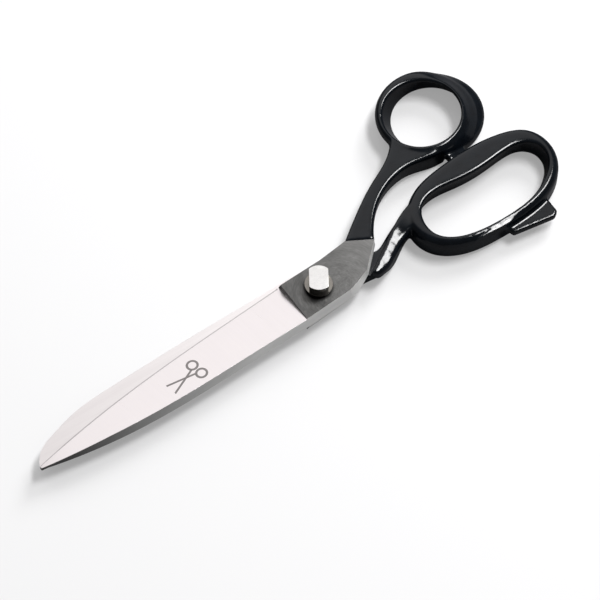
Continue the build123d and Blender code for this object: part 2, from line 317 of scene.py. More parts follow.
def mottle_group() -> bpy.types.NodeTree:
    """Soft cloudy patches with a fine grain on top.

    Returns:
        The node group: Patch and Grain, both per metre, in, Patches, Grain and Height out.
    """
    patch_height, grain_height = 0.95, 0.05
    sheet, inside, outside = new_group("mottle", ("Patch", "Grain"), ("Patches", "Grain", "Height"))
    scaled = {}
    for label in ("Patch", "Grain"):
        node = sheet.add("ShaderNodeVectorMath", operation="SCALE")
        sheet.fill(node.inputs[0], inside.outputs["Vector"])
        scaled[label] = sheet.feed(node, Scale=inside.outputs[label]).outputs["Vector"]
    patches = sheet.noise(scaled["Patch"], scale=1.0, detail=3.0)
    grain = sheet.noise(scaled["Grain"], scale=1.0, detail=4.0)
    height = sheet.math("ADD", sheet.math("MULTIPLY", patches, patch_height),
                        sheet.math("MULTIPLY", grain, grain_height))
    sheet.feed(outside, Patches=patches, Grain=grain, Height=height)
    return sheet.tree


@dataclass(frozen=True)
class EtchedSign:
    """A plain sign of open shears, etched on the blade: two rings and two crossed strokes."""

    place: tuple[float, float, float] = (-0.0680, -0.0008, 0.0)
    turn: float = 186.0  # degrees, the way the sign's blades point
    unit: float = 0.0013  # the drawing unit of the sizes below, in metres
    ring_back: float = 4.0  # how far the rings' centres lie behind the sign's place
    ring_side: float = 2.2  # and to either side of its middle line
    ring_radius: float = 1.7
    ring_line: float = 0.38  # half the width of its line
    crossing: float = 0.6  # where the strokes cross
    slope: float = 0.32
    stroke_line: float = 0.36
    stroke_middle: float = 2.1
    stroke_reach: float = 4.9  # from the middle to either end

    def group(self) -> bpy.types.NodeTree:
        """Draw the sign.

        Returns:
            The node group: Mark out, 1 inside the strokes.
        """
        sheet, inside, outside = new_group("etched_sign", (), ("Mark",))
        mapping = sheet.add("ShaderNodeMapping", vector_type="TEXTURE")
        sheet.feed(mapping, Vector=inside.outputs["Vector"], Location=self.place,
                   Rotation=(0.0, 0.0, math.radians(self.turn)), Scale=(self.unit, self.unit, self.unit))
        parts = sheet.split(mapping.outputs["Vector"])
        along = parts.outputs["X"]
        beside = sheet.math("ABSOLUTE", parts.outputs["Y"])
        reach = sheet.length(sheet.math("ADD", along, self.ring_back),
                             sheet.math("SUBTRACT", beside, self.ring_side))
        ring = sheet.near(reach, self.ring_radius, self.ring_line)
        past = sheet.math("ABSOLUTE", sheet.math("SUBTRACT", along, self.crossing))
        stroke = sheet.near(beside, sheet.math("MULTIPLY", past, self.slope), self.stroke_line)
        middle = sheet.near(along, self.stroke_middle, self.stroke_reach)
        sheet.feed(outside, Mark=sheet.math("MAXIMUM", ring, sheet.math("MULTIPLY", stroke, middle)))
        return sheet.tree


@dataclass(frozen=True)
class EdgeGapShadow:
    """A thin painted shadow on the rear blade's inner face, along the gap under the front blade's cutting
    edge.
    """

    root: Span = (-0.0134, 0.0107)  # the cutting edge's two ends
    tip: Span = (-0.139, 0.00245)
    arch: float = 0.0058  # how the edge arches past the straight line between them
    swell: float = 0.0095  # and how much more it does so towards the tip
    full: float = 0.00042  # the line's strength falls from here, past the edge
    gone: float = 0.00075

    def group(self) -> bpy.types.NodeTree:
        """Draw the line.

        Returns:
            The node group: Mark out, 1 on the line.
        """
        sheet, inside, outside = new_group("edge_gap_shadow", (), ("Mark",))
        parts = sheet.split(inside.outputs["Vector"])
        from_root = sheet.math("SUBTRACT", parts.outputs["X"], self.root[0])
        share = sheet.math("DIVIDE", from_root, self.tip[0] - self.root[0])
        chord = sheet.math("ADD", sheet.math("MULTIPLY", share, self.tip[1] - self.root[1]), self.root[1])
        bow = sheet.math("MULTIPLY", share, sheet.math("SUBTRACT", 1.0, share))
        height = sheet.math("ADD", sheet.math("MULTIPLY", share, self.swell), self.arch)
        edge = sheet.math("ADD", chord, sheet.math("MULTIPLY", bow, height))
        past = sheet.math("SUBTRACT", parts.outputs["Y"], edge)
        line = sheet.spread(past, 1.0, 0.0, start=self.full, end=self.gone)
        beyond_root = sheet.math("GREATER_THAN", share, 0.0)
        sheet.feed(outside, Mark=sheet.math("MULTIPLY", line, beyond_root))
        return sheet.tree


@dataclass(frozen=True)
class SharedEffects:
    """The node groups that the finishes use."""

    straight: bpy.types.NodeTree
    arcs: bpy.types.NodeTree
    mottle: bpy.types.NodeTree
    sign: bpy.types.NodeTree
    # the painted shadow of the gap along the front blade's cutting edge
    edge_gap_shadow: bpy.types.NodeTree

    @classmethod
    def build(cls) -> "SharedEffects":
        """Make each group once."""
        return cls(straight_grind_group(), arc_grind_group(), mottle_group(), EtchedSign().group(),
                   EdgeGapShadow().group())


# ---------------------------------------------------------------- finishes


def start_material(name: str) -> tuple[bpy.types.Material, NodeSheet, bpy.types.Node, bpy.types.NodeSocket]:
    """Make a material that holds a Principled shader and Object coordinates.

    Args:
        name: the material's name.

    Returns:
        The material, its sheet, its shader and the Object coordinate socket.
    """
    material = bpy.data.materials.new(name)
    material.use_nodes = True
    sheet = NodeSheet(material.node_tree)
    shader = material.node_tree.nodes["Principled BSDF"]
    place = sheet.add("ShaderNodeTexCoord").outputs["Object"]
    return material, sheet, shader, place


def bump(sheet: NodeSheet, shader: bpy.types.Node, height: bpy.types.NodeSocket, depth: float) -> None:
    """Drive the shader's normal from a height.

    Args:
        sheet: the material's sheet.
        shader: its Principled shader.
        height: the height mask, 0 to 1.
        depth: metres between 0 and 1.
    """
    node = sheet.feed(sheet.add("ShaderNodeBump"), Height=height, Strength=1.0, Distance=depth)
    sheet.feed(shader, Normal=node.outputs["Normal"])


@dataclass(frozen=True)
class GrindFinish:
    """Ground steel whose marks run straight, at a chosen angle in the plan."""

    name: str
    dark: Colour
    bright: Colour
    smooth: float
    rough: float
    turn: float  # degrees from X to the direction across the marks
    fine: float = 2600.0  # marks per metre, across
    along: float = 45.0  # changes per metre, along the marks
    depth: float = 0.0000004
    metal: float = 1.0
    patch: float = 60.0  # clouds per metre
    grain: float = 2400.0
    streak_share: float = 0.55  # of the tone, between streaks and clouds
    cloud_share: float = 0.45
    tip_shade: float = 0.0  # how much darker the tip end is, as painted shade
    tip_shade_from: float = -0.040  # X at which the painted tip shade starts, and at which it is full
    tip_shade_to: float = -0.125
    tip_shade_colour: Colour = (0.02, 0.02, 0.02)
    marked: bool = False  # whether it carries the etched sign
    etched: Colour = (0.16, 0.15, 0.145)
    etch_tone: float = 0.85
    etch_rough: float = 0.2  # how much rougher the sign is
    gap_shadowed: bool = False  # whether it shows the painted shadow of the gap along the other blade's edge
    gap_shadow_colour: Colour = (0.10, 0.095, 0.095)
    gap_shadow_tone: float = 0.5

    def build(self, effects: SharedEffects) -> bpy.types.Material:
        """Make the material.

        Args:
            effects: the shared groups.

        Returns:
            The finished material.
        """
        material, sheet, shader, place = start_material(self.name)
        mapping = sheet.add("ShaderNodeMapping", vector_type="TEXTURE")
        sheet.feed(mapping, Vector=place, Rotation=(0.0, 0.0, math.radians(self.turn)))
        marks = sheet.group(effects.straight, Vector=mapping.outputs["Vector"], Fine=self.fine,
                            Along=self.along)
        clouds = sheet.group(effects.mottle, Vector=place, Patch=self.patch, Grain=self.grain)
        blend = sheet.math("ADD", sheet.math("MULTIPLY", marks.outputs["Streaks"], self.streak_share),
                           sheet.math("MULTIPLY", clouds.outputs["Patches"], self.cloud_share))
        colour = sheet.mix(blend, self.dark, self.bright)
        rough = sheet.spread(marks.outputs["Streaks"], self.smooth, self.rough)
        # painted shade: the colour darkens towards the tip
        if self.tip_shade:
            painted_tip_shade = sheet.spread(sheet.split(place).outputs["X"], 0.0, self.tip_shade,
                                      start=self.tip_shade_from, end=self.tip_shade_to)
            colour = sheet.mix(painted_tip_shade, colour, self.tip_shade_colour)
        if self.marked:
            sign = sheet.group(effects.sign, Vector=place).outputs["Mark"]
            colour = sheet.mix(sheet.math("MULTIPLY", sign, self.etch_tone), colour, self.etched)
            rough = sheet.math("ADD", rough, sheet.math("MULTIPLY", sign, self.etch_rough))
        # painted shadow of the gap under the other blade's cutting edge
        if self.gap_shadowed:
            line = sheet.group(effects.edge_gap_shadow, Vector=place).outputs["Mark"]
            colour = sheet.mix(sheet.math("MULTIPLY", line, self.gap_shadow_tone), colour, self.gap_shadow_colour)
        sheet.feed(shader, Base_Color=colour, Metallic=self.metal, Roughness=rough)
        bump(sheet, shader, marks.outputs["Height"], self.depth)
        return material


@dataclass(frozen=True)
class RicassoFinish:
    """Matt grey steel around the pivot, with the curved marks of a face grinder."""

    name: str
    dark: Colour
    bright: Colour
    smooth: float = 0.34
    rough: float = 0.46
    centre: Span = (0.006, -0.006)
    fine: float = 1900.0
    depth: float = 0.0000035
    patch: float = 110.0
    grain: float = 3000.0
    streak_share: float = 0.55
    cloud_share: float = 0.25
    dark_end: float = -0.014  # darker at the shoulder end, lighter towards the bow
    light_end: float = 0.030
    lighter: float = 0.35  # how much lighter it is at the other end
    flange_shade_centre: Span = (-0.0003, -0.0006)  # painted contact shade: a darker ring around the flange
    flange_shade_from: float = 0.0054
    flange_shade_to: float = 0.0068

    def build(self, effects: SharedEffects) -> bpy.types.Material:
        """Make the material.

        Args:
            effects: the shared groups.

        Returns:
            The finished material.
        """
        material, sheet, shader, place = start_material(self.name)
        marks = sheet.group(effects.arcs, Vector=place, Centre_X=self.centre[0], Centre_Y=self.centre[1],
                            Fine=self.fine)
        clouds = sheet.group(effects.mottle, Vector=place, Patch=self.patch, Grain=self.grain)
        blend = sheet.math("ADD", sheet.math("MULTIPLY", marks.outputs["Streaks"], self.streak_share),
                           sheet.math("MULTIPLY", clouds.outputs["Patches"], self.cloud_share))
        parts = sheet.split(place)
        toward_bow = sheet.spread(parts.outputs["X"], 0.0, self.lighter, start=self.dark_end,
                                  end=self.light_end)
        blend = sheet.math("ADD", blend, toward_bow)
        # painted contact shade: the colour darkens in a ring around the flange
        from_flange = sheet.length(sheet.math("SUBTRACT", parts.outputs["X"], self.flange_shade_centre[0]),
                                   sheet.math("SUBTRACT", parts.outputs["Y"], self.flange_shade_centre[1]))
        outside_flange_shade = sheet.spread(from_flange, 0.0, 1.0, start=self.flange_shade_from, end=self.flange_shade_to,
                             kind="SMOOTHSTEP")
        blend = sheet.math("MULTIPLY", blend, outside_flange_shade)
        sheet.feed(shader, Base_Color=sheet.mix(blend, self.dark, self.bright), Metallic=1.0,
                   Roughness=sheet.spread(clouds.outputs["Grain"], self.smooth, self.rough))
        bump(sheet, shader, marks.outputs["Height"], self.depth)
        return material


@dataclass(frozen=True)
class LacquerFinish:
    """Thick black lacquer, glossy, with the faint unevenness of a dipped coat."""

    name: str = "bow_lacquer"
    deep: Colour = (0.0012, 0.0014, 0.0022)
    worn: Colour = (0.0040, 0.0060, 0.0085)
    gloss: float = 0.06
    dull: float = 0.20
    depth: float = 0.00005
    patch: float = 230.0
    grain: float = 2600.0
    index: float = 1.5
    mirror: float = 0.38

    def build(self, effects: SharedEffects) -> bpy.types.Material:
        """Make the material.

        Args:
            effects: the shared groups.

        Returns:
            The finished material.
        """
        material, sheet, shader, place = start_material(self.name)
        coat = sheet.group(effects.mottle, Vector=place, Patch=self.patch, Grain=self.grain)
        sheet.feed(shader, Base_Color=sheet.mix(coat.outputs["Patches"], self.deep, self.worn), Metallic=0.0,
                   Roughness=sheet.spread(coat.outputs["Grain"], self.gloss, self.dull), IOR=self.index,
                   Specular_IOR_Level=self.mirror)
        bump(sheet, shader, coat.outputs["Height"], self.depth)
        return material


@dataclass(frozen=True)
class PlatedFinish:
    """Nickel plate or spring steel: bright metal with a fine satin grain."""

    name: str
    dark: Colour
    bright: Colour
    smooth: float
    rough: float
    depth: float = 0.000002
    patch: float = 400.0
    grain: float = 5200.0

    def build(self, effects: SharedEffects) -> bpy.types.Material:
        """Make the material.

        Args:
            effects: the shared groups.

        Returns:
            The finished material.
        """
        material, sheet, shader, place = start_material(self.name)
        satin = sheet.group(effects.mottle, Vector=place, Patch=self.patch, Grain=self.grain)
        sheet.feed(shader, Base_Color=sheet.mix(satin.outputs["Patches"], self.dark, self.bright),
                   Metallic=1.0, Roughness=sheet.spread(satin.outputs["Grain"], self.smooth, self.rough))
        bump(sheet, shader, satin.outputs["Height"], self.depth)
        return material


# ---------------------------------------------------------------- mesh helpers


def copy_of_node(node: str, name: str) -> bpy.types.Object:
    """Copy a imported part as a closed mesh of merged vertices.

    Args:
        node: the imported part's name.
        name: the new piece's name.

    Returns:
        The new object, at the origin.
    """
    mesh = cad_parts[node].data.copy()
    mesh.name = name
    mesh.materials.clear()
    piece = bpy.data.objects.new(name, mesh)
    bpy.context.scene.collection.objects.link(piece)
    shape = bmesh.new()
    shape.from_mesh(mesh)
    bmesh.ops.remove_doubles(shape, verts=shape.verts, dist=MERGE)
    bmesh.ops.recalc_face_normals(shape, faces=shape.faces)
    shape.to_mesh(mesh)
    shape.free()
    return piece


def piece_from(shape: bmesh.types.BMesh, name: str) -> bpy.types.Object:
    """Turn a bmesh into a piece at the origin, with its doubles merged and its faces outwards.

    Args:
        shape: the bmesh, which is freed.
        name: the new piece's name.

    Returns:
        The new object.
    """
    bmesh.ops.remove_doubles(shape, verts=shape.verts, dist=MERGE)
    bmesh.ops.recalc_face_normals(shape, faces=shape.faces)
    mesh = bpy.data.meshes.new(name)
    shape.to_mesh(mesh)
    shape.free()
    piece = bpy.data.objects.new(name, mesh)
    bpy.context.scene.collection.objects.link(piece)
    return piece


def apply_modifiers(piece: bpy.types.Object) -> None:
    """Bake a piece's modifiers into its mesh.

    Args:
        piece: the piece.
    """
    graph = bpy.context.evaluated_depsgraph_get()
    baked = bpy.data.meshes.new_from_object(piece.evaluated_get(graph))
    piece.modifiers.clear()
    old = piece.data
    piece.data = baked
    baked.name = piece.name
    bpy.data.meshes.remove(old)


def united(parts: list[bmesh.types.BMesh]) -> bmesh.types.BMesh:
    """Unite overlapping closed parts into one closed skin.

    Args:
        parts: the bmeshes, which are freed.

    Returns:
        The bmesh of the whole.
    """
    whole, *others = [piece_from(part, f"part_{count}") for count, part in enumerate(parts)]
    for other in others:
        union = whole.modifiers.new("union", "BOOLEAN")
        union.operation = "UNION"
        union.solver = "EXACT"
        union.object = other
        apply_modifiers(whole)
    shape = bmesh.new()
    shape.from_mesh(whole.data)
    for piece in (whole, *others):
        mesh = piece.data
        bpy.data.objects.remove(piece)
        bpy.data.meshes.remove(mesh)
    return shape


def smooth_by_angle(piece: bpy.types.Object, degrees: float) -> None:
    """Shade smooth, with sharp edges over an angle.

    Args:
        piece: the piece.
        degrees: the angle between faces past which an edge stays sharp.
    """
    mesh = piece.data
    mesh.polygons.foreach_set("use_smooth", [True] * len(mesh.polygons))
    shape = bmesh.new()
    shape.from_mesh(mesh)
    limit = math.radians(degrees)
    for edge in shape.edges:
        edge.smooth = len(edge.link_faces) == 2 and edge.calc_face_angle(0.0) < limit
    shape.to_mesh(mesh)
    shape.free()


def settle(piece: bpy.types.Object, body: Body, slot: Slot, *nodes: str) -> None:
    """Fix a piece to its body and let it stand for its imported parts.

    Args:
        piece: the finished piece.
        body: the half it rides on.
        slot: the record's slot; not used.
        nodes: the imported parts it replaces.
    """
    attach(piece, body.value)
    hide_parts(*nodes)
    log.info("%s: %d faces", piece.name, len(piece.data.polygons))


# ---------------------------------------------------------------- sub-assemblies


@dataclass
class Blade:
    """One ground blade with its ricasso and drafted sides."""

    node: str
    body: Body
    outward: float  # +1 where the outer face looks up, -1 where it looks down
    faces: list[bpy.types.Material]  # in the order of BladeFace
    edge_break: float = 0.28 * MM
    break_steps: int = 3
    break_angle: float = 12.0  # degrees, edges flatter than this stay as they are
    flat_weight: int = 80  # how much the broad faces lead the shading
    joined_angle: float = 0.02  # degrees, flat triangles within this are one face
    level: float = 0.9999  # upright part of the normal on the ricasso
    outer: float = 0.8  # and at least on the ground face
    inner: float = -0.9  # and at most on the inner face
    height_slack: float = 0.05 * MM
    shoulder: float = -0.7  # lengthwise part of the normal on the shoulder's wall
    shoulder_x: float = -13.4 * MM  # where the grind ends, and how far its line bends to either side
    shoulder_bend: float = 3.0 * MM

    def build(self) -> bpy.types.Object:
        """Make the blade's mesh, sort its faces by finish and break its edges.

        Returns:
            The finished blade.
        """
        piece = copy_of_node(self.node, self.node + "_finished")
        shape = bmesh.new()
        shape.from_mesh(piece.data)
        bmesh.ops.dissolve_limit(shape, angle_limit=math.radians(self.joined_angle),
                                 use_dissolve_boundaries=False, verts=shape.verts, edges=shape.edges,
                                 delimit={"MATERIAL"})
        low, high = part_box(self.node)
        outer_z = high.z if self.outward > 0 else low.z
        for face in shape.faces:
            face.material_index = self.finish_of(face, outer_z).value
        shape.to_mesh(piece.data)
        shape.free()
        for material in self.faces:
            piece.data.materials.append(material)
        rounding = piece.modifiers.new("edge_break", "BEVEL")
        rounding.width = self.edge_break
        rounding.segments = self.break_steps
        rounding.limit_method = "ANGLE"
        rounding.angle_limit = math.radians(self.break_angle)
        rounding.use_clamp_overlap = True
        rounding.material = -1
        piece.data.polygons.foreach_set("use_smooth", [True] * len(piece.data.polygons))
        weighted = piece.modifiers.new("flat_faces", "WEIGHTED_NORMAL")
        weighted.weight = self.flat_weight
        apply_modifiers(piece)
        settle(piece, self.body, Slot.STEEL, self.node)
        return piece

    def finish_of(self, face: bmesh.types.BMFace, outer_z: float) -> BladeFace:
        """Tell which kind of face this is.

        Args:
            face: a face of the blade.
            outer_z: height of the ricasso's outer face.

        Returns:
            Its kind.
        """
        facing = face.normal.z * self.outward
        middle = face.calc_center_median()
        if facing > self.level and abs(middle.z - outer_z) < self.height_slack:
            return BladeFace.RICASSO
        if facing > self.outer:
            return BladeFace.GRIND
        if facing < self.inner:
            return BladeFace.INNER
        # the shoulder's wall takes the ricasso's dark matt finish, which also serves as painted shade in the
        # step
        if face.normal.x < self.shoulder and abs(middle.x - self.shoulder_x) < self.shoulder_bend:
            return BladeFace.RICASSO
        return BladeFace.SIDE


def ease(value: float, low: float, high: float) -> float:
    """Rise smoothly from 0 at low to 1 at high.

    Args:
        value: the number looked at.
        low: where the rise starts.
        high: where it ends.

    Returns:
        The share, 0 to 1.
    """
    share = min(1.0, max(0.0, (value - low) / (high - low)))
    return share * share * (3.0 - 2.0 * share)


@dataclass
class Bow:
    """One lacquered bow with its shank, softened as a dipped coat softens a forging.

    Each kind of bow names its node and body, and says in drop() how its top is shaped.
    """

    lacquer: bpy.types.Material
    node: str = ""
    body: Body = Body.THUMB
    voxel: float = 0.32 * MM
    rounds: int = 16  # smoothing of the remeshed forging
    settling: int = 6  # smoothing after the shaping

    def build(self) -> bpy.types.Object:
        """Make the bow's smooth mesh.

        Returns:
            The finished bow.
        """
        piece = copy_of_node(self.node, self.node + "_lacquered")
        remesh = piece.modifiers.new("coat", "REMESH")
        remesh.mode = "VOXEL"
        remesh.voxel_size = self.voxel
        remesh.adaptivity = 0.0
        apply_modifiers(piece)
        shape = bmesh.new()
        shape.from_mesh(piece.data)
        self.smooth(shape, self.rounds)
        for vert in shape.verts:
            vert.co.z -= self.drop(vert.co / MM) * MM
        self.smooth(shape, self.settling)
        shape.to_mesh(piece.data)
        shape.free()
        piece.data.polygons.foreach_set("use_smooth", [True] * len(piece.data.polygons))
        piece.data.materials.append(self.lacquer)
        settle(piece, self.body, Slot.LACQUER, self.node)
        return piece

    def smooth(self, shape: bmesh.types.BMesh, rounds: int) -> None:
        """Relax every vertex towards its neighbours.

        Args:
            shape: the bow's bmesh.
            rounds: how many times.
        """
        for _ in range(rounds):
            bmesh.ops.smooth_vert(shape, verts=shape.verts, factor=0.5, use_axis_x=True, use_axis_y=True,
                                  use_axis_z=True)

    def drop(self, place: Vector) -> float:
        """Tell how far a point of the forging is ground down.

        Args:
            place: the point, in millimetres.

        Returns:
            The drop in millimetres.
        """
        return 0.0


@dataclass
class ThumbBow(Bow):
    """The thumb bow: a leaning ring whose outside slopes away from a crest beside the hole."""

    node: str = "thumb_bow"
    body: Body = Body.THUMB
    centre: Span = (89.5, 41.1)  # hole centre at mid height, millimetres
    half_x: float = 17.1  # half the hole's width and depth
    half_y: float = 16.4
    lean: float = -0.55  # how far the hole shifts along X per millimetre of height
    middle: float = 5.8  # the height at which its centre is given
    crest: float = 1.4  # from the hole to the crest
    outside: float = 7.0  # from the hole to the foot of the slope
    fall: float = 4.0  # depth of the slope at its foot
    shank_turn: float = 211.0  # degrees, direction from the ring's centre to its shank
    shank_gate: Span = (28.0, 75.0)  # degrees from the shank over which the slope comes in
    wide_turn: float = -30.0  # degrees, where the slope is widest
    wide_gate: Span = (-0.2, 1.0)  # cosines from there over which it comes in
    rise: Span = (2.5, 11.0)  # heights over which it comes in
    fullness: float = 0.8  # below 1 the slope starts steeper at the crest

    def drop(self, place: Vector) -> float:
        """Slope the outside of the ring, except where the shank joins it.

        Args:
            place: the point, in millimetres.

        Returns:
            The drop in millimetres.
        """
        side_x = place.x - self.centre[0] - self.lean * (place.z - self.middle)
        side_y = place.y - self.centre[1]
        away = (math.hypot(side_x / self.half_x, side_y / self.half_y) - 1.0) * self.half_x
        direction = math.atan2(side_y, side_x)
        turn = math.degrees(direction) - self.shank_turn
        turn = abs((turn + 180.0) % 360.0 - 180.0)
        clear = ease(turn, *self.shank_gate)
        clear *= ease(math.cos(direction - math.radians(self.wide_turn)), *self.wide_gate)
        height = ease(place.z, *self.rise)
        return self.fall * clear * height * ease(away, self.crest, self.outside) ** self.fullness


@dataclass
class FingerBow(Bow):
    """The finger bow: a long loop with a palm rest above the hole and a rounded bar below it."""

    node: str = "finger_bow"
    body: Body = Body.FINGER
    left: Vector = field(default_factory=lambda: Vector((66.0, -6.5)))  # ends of the hole's middle line
    right: Vector = field(default_factory=lambda: Vector((102.0, -6.0)))
    half_width: float = 13.4  # of the hole
    bar_tilt: float = 0.24  # fall across the lower bar's facet, per millimetre
    facet_start: float = 2.45  # where the facet starts, beyond half_width
    facet_width: float = 1.9
    facet_top: float = 11.3  # height of its upper side
    facet_blend: float = 0.6  # how far its sides take to fade
    below: Span = (2.0, 14.0)  # distances below the pivot over which the bar starts
    facet_rise: Span = (8.6, 9.6)  # heights over which the facet comes in
    facet_in: Span = (50.0, 60.0)  # X over which it comes in and fades
    facet_out: Span = (82.0, 92.0)
    face_left: Vector = field(default_factory=lambda: Vector((21.5, -7.7)))  # upper edge of the shank's face
    face_right: Vector = field(default_factory=lambda: Vector((52.0, 9.5)))
    face_tilt: float = 0.24  # fall across the face, per millimetre
    face_margin: float = 0.4  # the crest's own width
    face_rise: Span = (7.6, 10.2)  # heights over which the tilt comes in
    face_out: Span = (40.0, 50.0)  # X over which the face fades
    dent: float = 0.07  # unevenness of the thick lacquer on the face
    bar_dent: float = 0.09  # and on the lower bar
    dent_rise: Span = (6.0, 9.0)  # where the bar's dents come in and fade
    dent_in: Span = (60.0, 70.0)
    dent_out: Span = (92.0, 100.0)
    waves: float = 0.42  # dents per millimetre, broad and small
    ripples: float = 0.9
    ripple_share: float = 0.5

    def drop(self, place: Vector) -> float:
        """Round off the lower bar and tilt the shank's raised face.

        Args:
            place: the point, in millimetres.

        Returns:
            The drop in millimetres.
        """
        spot = Vector((place.x, place.y))
        along = self.right - self.left
        share = min(1.0, max(0.0, (spot - self.left).dot(along) / along.length_squared))
        away = (spot - self.left - share * along).length - self.half_width
        below = ease(-place.y, *self.below)
        out = away - self.facet_start
        on_facet = ease(out, -self.facet_blend, 0.0)
        on_facet *= 1.0 - ease(out, self.facet_width, self.facet_width + self.facet_blend)
        on_facet *= below * ease(place.z, *self.facet_rise)
        on_facet *= ease(place.x, *self.facet_in) * (1.0 - ease(place.x, *self.facet_out))
        bar = (place.z - self.facet_top + self.bar_tilt * out) * on_facet
        face = self.face_right - self.face_left
        normal = Vector((face.y, -face.x)).normalized()
        depth = max(0.0, (spot - self.face_left).dot(normal) - self.face_margin)
        on_face = ease(place.z, *self.face_rise) * (1.0 - ease(place.x, *self.face_out))
        on_bar = below * ease(place.z, *self.dent_rise)
        on_bar *= ease(place.x, *self.dent_in) * (1.0 - ease(place.x, *self.dent_out))
        dents = noise.noise(place * self.waves) + self.ripple_share * noise.noise(place * self.ripples)
        uneven = dents * (self.dent * on_face + self.bar_dent * on_bar)
        return bar + self.face_tilt * depth * on_face + uneven


@dataclass
class PivotStack:
    """The pivot screw with its spanner flats, the dished washer and the lock nut."""

    plate: bpy.types.Material
    lit_top: bpy.types.Material  # the head's satin top: a lighter copy of the plate, as painted light
    # the washer's blackened steel, kept near black also as painted contact shadow under the flange
    spring: bpy.types.Material
    sides: int = 96
    flat_turn: float = -36.0  # degrees, direction of the flats' normal from X
    spanner_width: float = 8.0 * MM
    head_radius: float = 5.85 * MM
    flange_radius: float = 5.95 * MM
    shoulder_radius: float = 3.5 * MM
    thread_radius: float = 2.9 * MM
    flange_thickness: float = 1.0 * MM
    head_height: float = 5.0 * MM
    nut_width: float = 10.0 * MM
    sunk: float = 0.2 * MM  # how far one drum of the screw reaches into the next
    head_rounding: float = 0.5 * MM
    flange_break: float = 0.08 * MM
    flange_rounding: float = 0.15 * MM
    thread_chamfer: float = 0.3 * MM
    nut_rounding: float = 0.4 * MM
    cap_depth: float = 0.45 * MM  # how far down the satin top, with its painted light, reaches
    washer_sheet: float = 0.35 * MM
    washer_gap: float = 0.05 * MM  # around the shoulder
    sharp_angle: float = 32.0  # degrees, edges sharper than this stay sharp
    broad_corners: int = 8  # a face with more corners than this is shaded flat

    def build(self) -> list[bpy.types.Object]:
        """Make the three pieces.

        Returns:
            The screw, the washer and the nut.
        """
        return [self.screw(), self.washer(), self.nut()]

    def drum(self, radius: float, low: float, high: float) -> bmesh.types.BMesh:
        """Make an upright drum about the pivot axis.

        Args:
            radius: its radius.
            low: height of its underside.
            high: height of its top.

        Returns:
            The bmesh of the drum.
        """
        shape = bmesh.new()
        bmesh.ops.create_circle(shape, cap_ends=True, segments=self.sides, radius=radius,
                                matrix=Matrix.Translation((0, 0, low)))
        raised = bmesh.ops.extrude_face_region(shape, geom=list(shape.faces))
        moved = [item for item in raised["geom"] if isinstance(item, bmesh.types.BMVert)]
        bmesh.ops.translate(shape, verts=moved, vec=(0, 0, high - low))
        bmesh.ops.recalc_face_normals(shape, faces=shape.faces)
        return shape

    def cut_flats(self, shape: bmesh.types.BMesh, width: float, turn: float) -> None:
        """Cut two parallel flats.

        Args:
            shape: the drum.
            width: across the flats.
            turn: degrees from X to the flats' normal.
        """
        normal = Vector((math.cos(math.radians(turn)), math.sin(math.radians(turn)), 0))
        for side in (1, -1):
            whole = list(shape.verts) + list(shape.edges) + list(shape.faces)
            cut = bmesh.ops.bisect_plane(shape, geom=whole, plane_co=normal * side * width / 2,
                                         plane_no=normal * side, clear_outer=True)
            rim = [item for item in cut["geom_cut"] if isinstance(item, bmesh.types.BMEdge)]
            bmesh.ops.contextual_create(shape, geom=rim)

    def round_rim(self, shape: bmesh.types.BMesh, height: float, offset: float, steps: int) -> None:
        """Round the edges that lie at one height.

        Args:
            shape: the bmesh.
            height: their height.
            offset: the rounding's size.
            steps: its segments.
        """
        rim = [edge for edge in shape.edges
               if all(abs(vert.co.z - height) < LEVEL for vert in edge.verts)]
        bmesh.ops.bevel(shape, geom=rim, offset=offset, offset_type="OFFSET", segments=steps, profile=0.5,
                        affect="EDGES", clamp_overlap=True, material=-1)

    def finish(self, shape: bmesh.types.BMesh, name: str, material: bpy.types.Material, slot: Slot,
               node: str) -> bpy.types.Object:
        """Make a piece of a bmesh and fix it to the finger half.

        Args:
            shape: the bmesh.
            name: the piece's name.
            material: its finish.
            slot: its slot.
            node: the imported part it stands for.

        Returns:
            The piece.
        """
        piece = piece_from(shape, name)
        piece.data.materials.append(material)
        # painted light: the head's upward faces take a lighter copy of the plate, while its sides keep the
        # darker plate as painted shade
        if node == "pivot_screw":
            piece.data.materials.append(self.lit_top)
            cap_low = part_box(node)[1].z - self.cap_depth
            for polygon in piece.data.polygons:
                polygon.material_index = int(polygon.center.z > cap_low and polygon.normal.z > 0.5)
        smooth_by_angle(piece, self.sharp_angle)
        for polygon in piece.data.polygons:
            if len(polygon.vertices) > self.broad_corners:
                polygon.use_smooth = False
        settle(piece, Body.FINGER, slot, node)
        return piece

    def screw(self) -> bpy.types.Object:
        """Make the screw: thread end, shoulder, flange and the flatted head, as one closed mesh.

        Returns:
            The screw.
        """
        low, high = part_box("pivot_screw")
        nut_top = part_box("lock_nut")[1].z
        flange_top = high.z - self.head_height
        flange_low = flange_top - self.flange_thickness
        head = self.drum(self.head_radius, flange_top - self.sunk, high.z)
        self.cut_flats(head, self.spanner_width, self.flat_turn)
        self.round_rim(head, high.z, self.head_rounding, steps=4)
        flange = self.drum(self.flange_radius, flange_low, flange_top)
        self.round_rim(flange, flange_top, self.flange_break, steps=1)
        self.round_rim(flange, flange_low, self.flange_rounding, steps=2)
        shoulder = self.drum(self.shoulder_radius, nut_top, flange_low + self.sunk)
        thread = self.drum(self.thread_radius, low.z, nut_top + self.sunk)
        self.round_rim(thread, low.z, self.thread_chamfer, steps=2)
        whole = united([head, flange, shoulder, thread])
        return self.finish(whole, "pivot_screw_plated", self.plate, Slot.PLATED, "pivot_screw")

